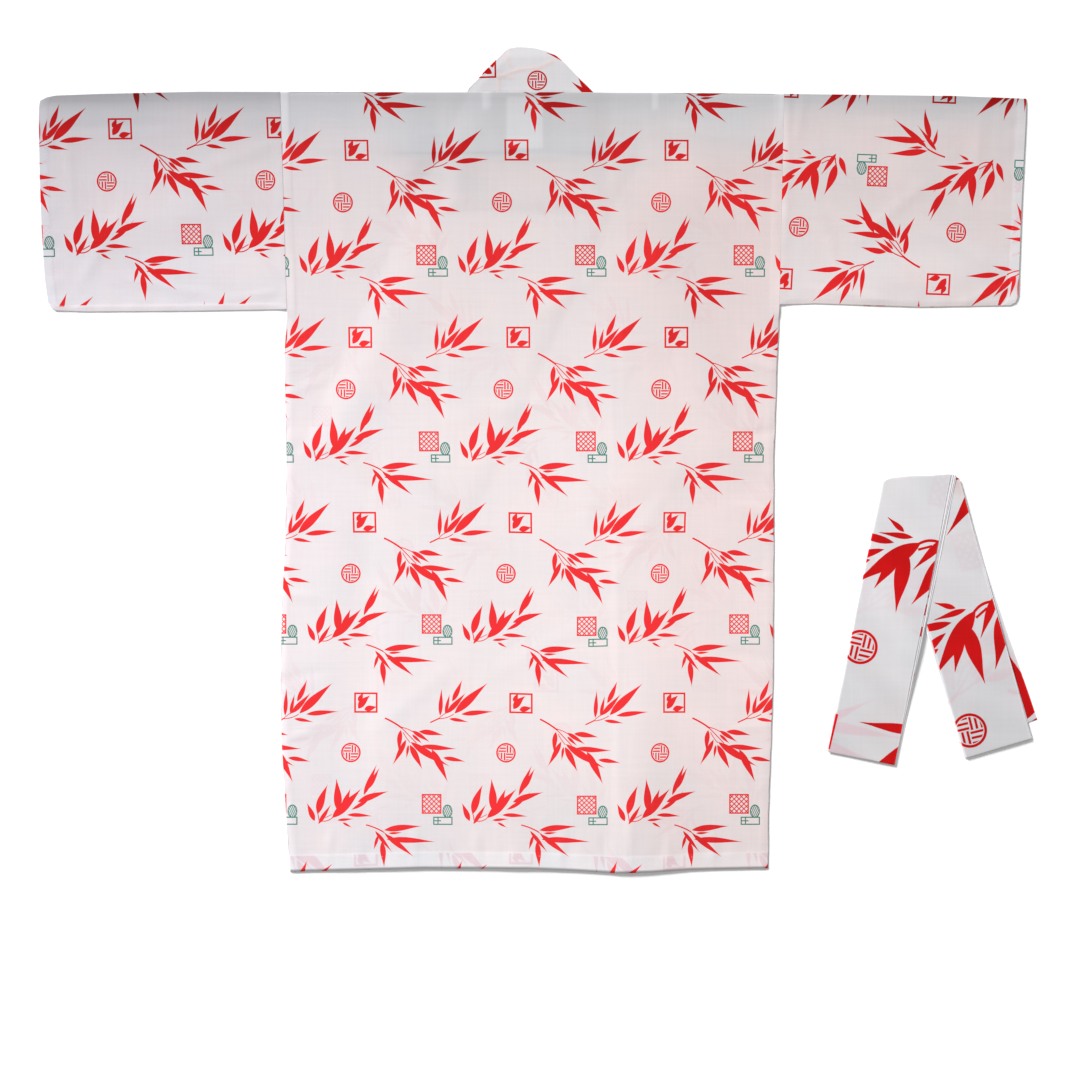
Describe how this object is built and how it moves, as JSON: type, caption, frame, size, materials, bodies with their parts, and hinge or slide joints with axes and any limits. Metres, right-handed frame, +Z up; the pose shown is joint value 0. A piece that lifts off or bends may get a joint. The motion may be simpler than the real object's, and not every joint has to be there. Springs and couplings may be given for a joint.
{
  "type": "short yukata",
  "caption": "Short white cotton yukata laid flat on its front, back up, sleeves straight out, leaf and seal print, with its folded belt beside it.",
  "frame": {"origin": "on the surface it lies on, on the centre-back line, half way between the shoulder fold and the hem", "axes": "+Z up off that surface, +Y towards the collar, +X towards the wearer's right sleeve, which is on the right as seen from above"},
  "size_m": [1.2971, 1.0747, 0.0088],
  "materials": {
    "printed_cotton": "thin plain-weave cotton, white with a red and green leaf and seal print",
    "plain_tape": "blank white woven patch"
  },
  "bodies": {
    "root": {"front_left": "printed_cotton", "overlap_left": "printed_cotton", "front_right": "printed_cotton", "overlap_right": "printed_cotton", "collar_left": "printed_cotton", "collar_right": "printed_cotton", "collar_nape": "printed_cotton", "neck_label": "plain_tape", "back": "printed_cotton", "sleeve_left_front": "printed_cotton", "sleeve_left_back": "printed_cotton", "sleeve_right_front": "printed_cotton", "sleeve_right_back": "printed_cotton", "belt_tail": "printed_cotton", "belt_lower_leg": "printed_cotton", "belt_upper_leg": "printed_cotton"}
  },
  "joints": []
}
